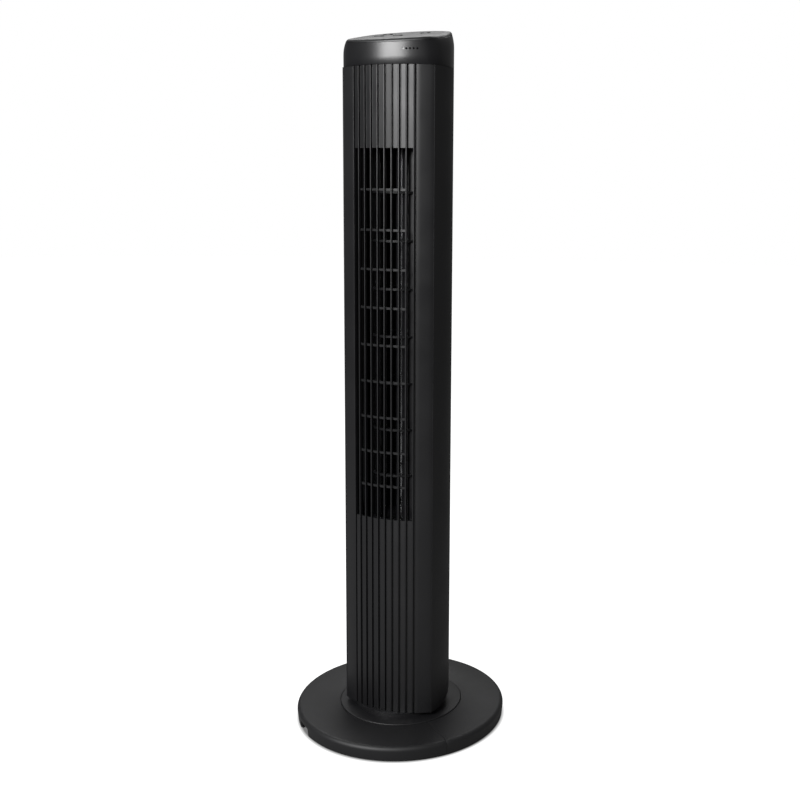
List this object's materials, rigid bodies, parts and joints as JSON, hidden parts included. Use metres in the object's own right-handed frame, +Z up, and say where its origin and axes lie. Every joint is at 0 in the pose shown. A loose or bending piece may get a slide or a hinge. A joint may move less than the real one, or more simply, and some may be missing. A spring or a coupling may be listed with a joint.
{
  "type": "tower fan",
  "caption": "Tall tower fan: slim turning column with a ribbed grille and sloping control head on a flat round base.",
  "frame": {"origin": "centre of the base at floor level", "axes": "+Z up along the column, the fan blows towards -Y, +X to the right seen from the front"},
  "size_m": [0.3048, 0.3048, 0.9929],
  "materials": {
    "base_plastic": "fine-grained injection-moulded ABS, black",
    "hub_plastic": "fine-grained black plastic",
    "foot_rubber": "soft black rubber",
    "gland_rubber": "black rubber bush",
    "screw_steel": "zinc-plated steel",
    "gear_nylon": "black nylon",
    "washer_acetal": "black acetal",
    "panel_plastic": "satin black ABS with vertical ribs",
    "housing_plastic": "fine-grained black ABS",
    "inner_plastic": "plain black polypropylene",
    "plate_plastic": "glass-filled grey-black nylon",
    "motor_steel": "plated steel can",
    "bearing_bronze": "sintered bronze",
    "retainer_steel": "stamped steel",
    "shaft_steel": "ground steel",
    "head_plastic": "satin black ABS",
    "cover_plastic": "satin dark grey ABS",
    "button_plastic": "satin dark grey ABS",
    "lamp_acrylic": "smoked acrylic",
    "receiver_acrylic": "infrared-clear dark acrylic",
    "board_laminate": "green circuit board"
  },
  "bodies": {
    "base": {"base_half_front": "base_plastic", "base_half_rear": "base_plastic", "foot_1": "foot_rubber", "foot_2": "foot_rubber", "foot_3": "foot_rubber", "foot_4": "foot_rubber", "foot_5": "foot_rubber", "foot_6": "foot_rubber", "foot_7": "foot_rubber", "foot_8": "foot_rubber", "cord_gland": "gland_rubber", "hub_plate": "hub_plastic", "hub_screw_1": "screw_steel", "hub_screw_2": "screw_steel", "hub_screw_3": "screw_steel", "hub_screw_4": "screw_steel", "ring_gear": "gear_nylon", "thrust_washer": "washer_acetal"},
    "column": {"foot_plate": "hub_plastic", "neck_retainer": "retainer_steel", "retainer_screw_1": "screw_steel", "retainer_screw_2": "screw_steel", "retainer_screw_3": "screw_steel", "front_panel": "panel_plastic", "rear_housing": "housing_plastic", "grip_cup": "inner_plastic", "motor_plate": "plate_plastic", "bearing_plate": "plate_plastic", "fan_motor": "motor_steel", "top_bearing": "bearing_bronze", "swing_motor": "motor_steel", "head_shell": "head_plastic", "lamp_guide": "lamp_acrylic", "top_cover": "cover_plastic", "receiver_lens": "receiver_acrylic", "control_board": "board_laminate", "scroll_guide": "inner_plastic", "tongue_guide": "inner_plastic", "housing_screw_1": "screw_steel", "housing_screw_2": "screw_steel", "housing_screw_3": "screw_steel", "housing_screw_4": "screw_steel"},
    "impeller": {"impeller": "inner_plastic", "impeller_shaft": "shaft_steel"},
    "pinion": {"swing_pinion": "gear_nylon"},
    "power_button": {"button_power": "button_plastic"},
    "speed_button": {"button_speed": "button_plastic"},
    "swing_button": {"button_swing": "button_plastic"},
    "timer_button": {"button_timer": "button_plastic"}
  },
  "joints": [
    {"name": "column_swing", "type": "hinge", "parent": "base", "child": "column", "pos_m": [0, 0, 0.0285], "axis": [0, 0, 1], "range_deg": [-42, 42]},
    {"name": "impeller_spin", "type": "hinge", "parent": "column", "child": "impeller", "pos_m": [0, 0.003, 0.3], "axis": [0, 0, 1], "continuous": true},
    {"name": "pinion_turn", "type": "hinge", "parent": "column", "child": "pinion", "pos_m": [0, 0.0453, 0.0225], "axis": [0, 0, 1], "range_deg": [-170, 170]},
    {"name": "power_press", "type": "slide", "parent": "column", "child": "power_button", "axis": [0, 0.2151, -0.9766], "range_m": [0, 0.001], "stiffness_N_per_m": 400, "springref_m": -0.0005},
    {"name": "speed_press", "type": "slide", "parent": "column", "child": "speed_button", "axis": [0, 0.2151, -0.9766], "range_m": [0, 0.001], "stiffness_N_per_m": 400, "springref_m": -0.0005},
    {"name": "swing_press", "type": "slide", "parent": "column", "child": "swing_button", "axis": [0, 0.2151, -0.9766], "range_m": [0, 0.001], "stiffness_N_per_m": 400, "springref_m": -0.0005},
    {"name": "timer_press", "type": "slide", "parent": "column", "child": "timer_button", "axis": [0, 0.2151, -0.9766], "range_m": [0, 0.001], "stiffness_N_per_m": 400, "springref_m": -0.0005}
  ],
  "couplings": [
    {"joint": "pinion_turn", "follows": "column_swing", "ratio": 4}
  ]
}
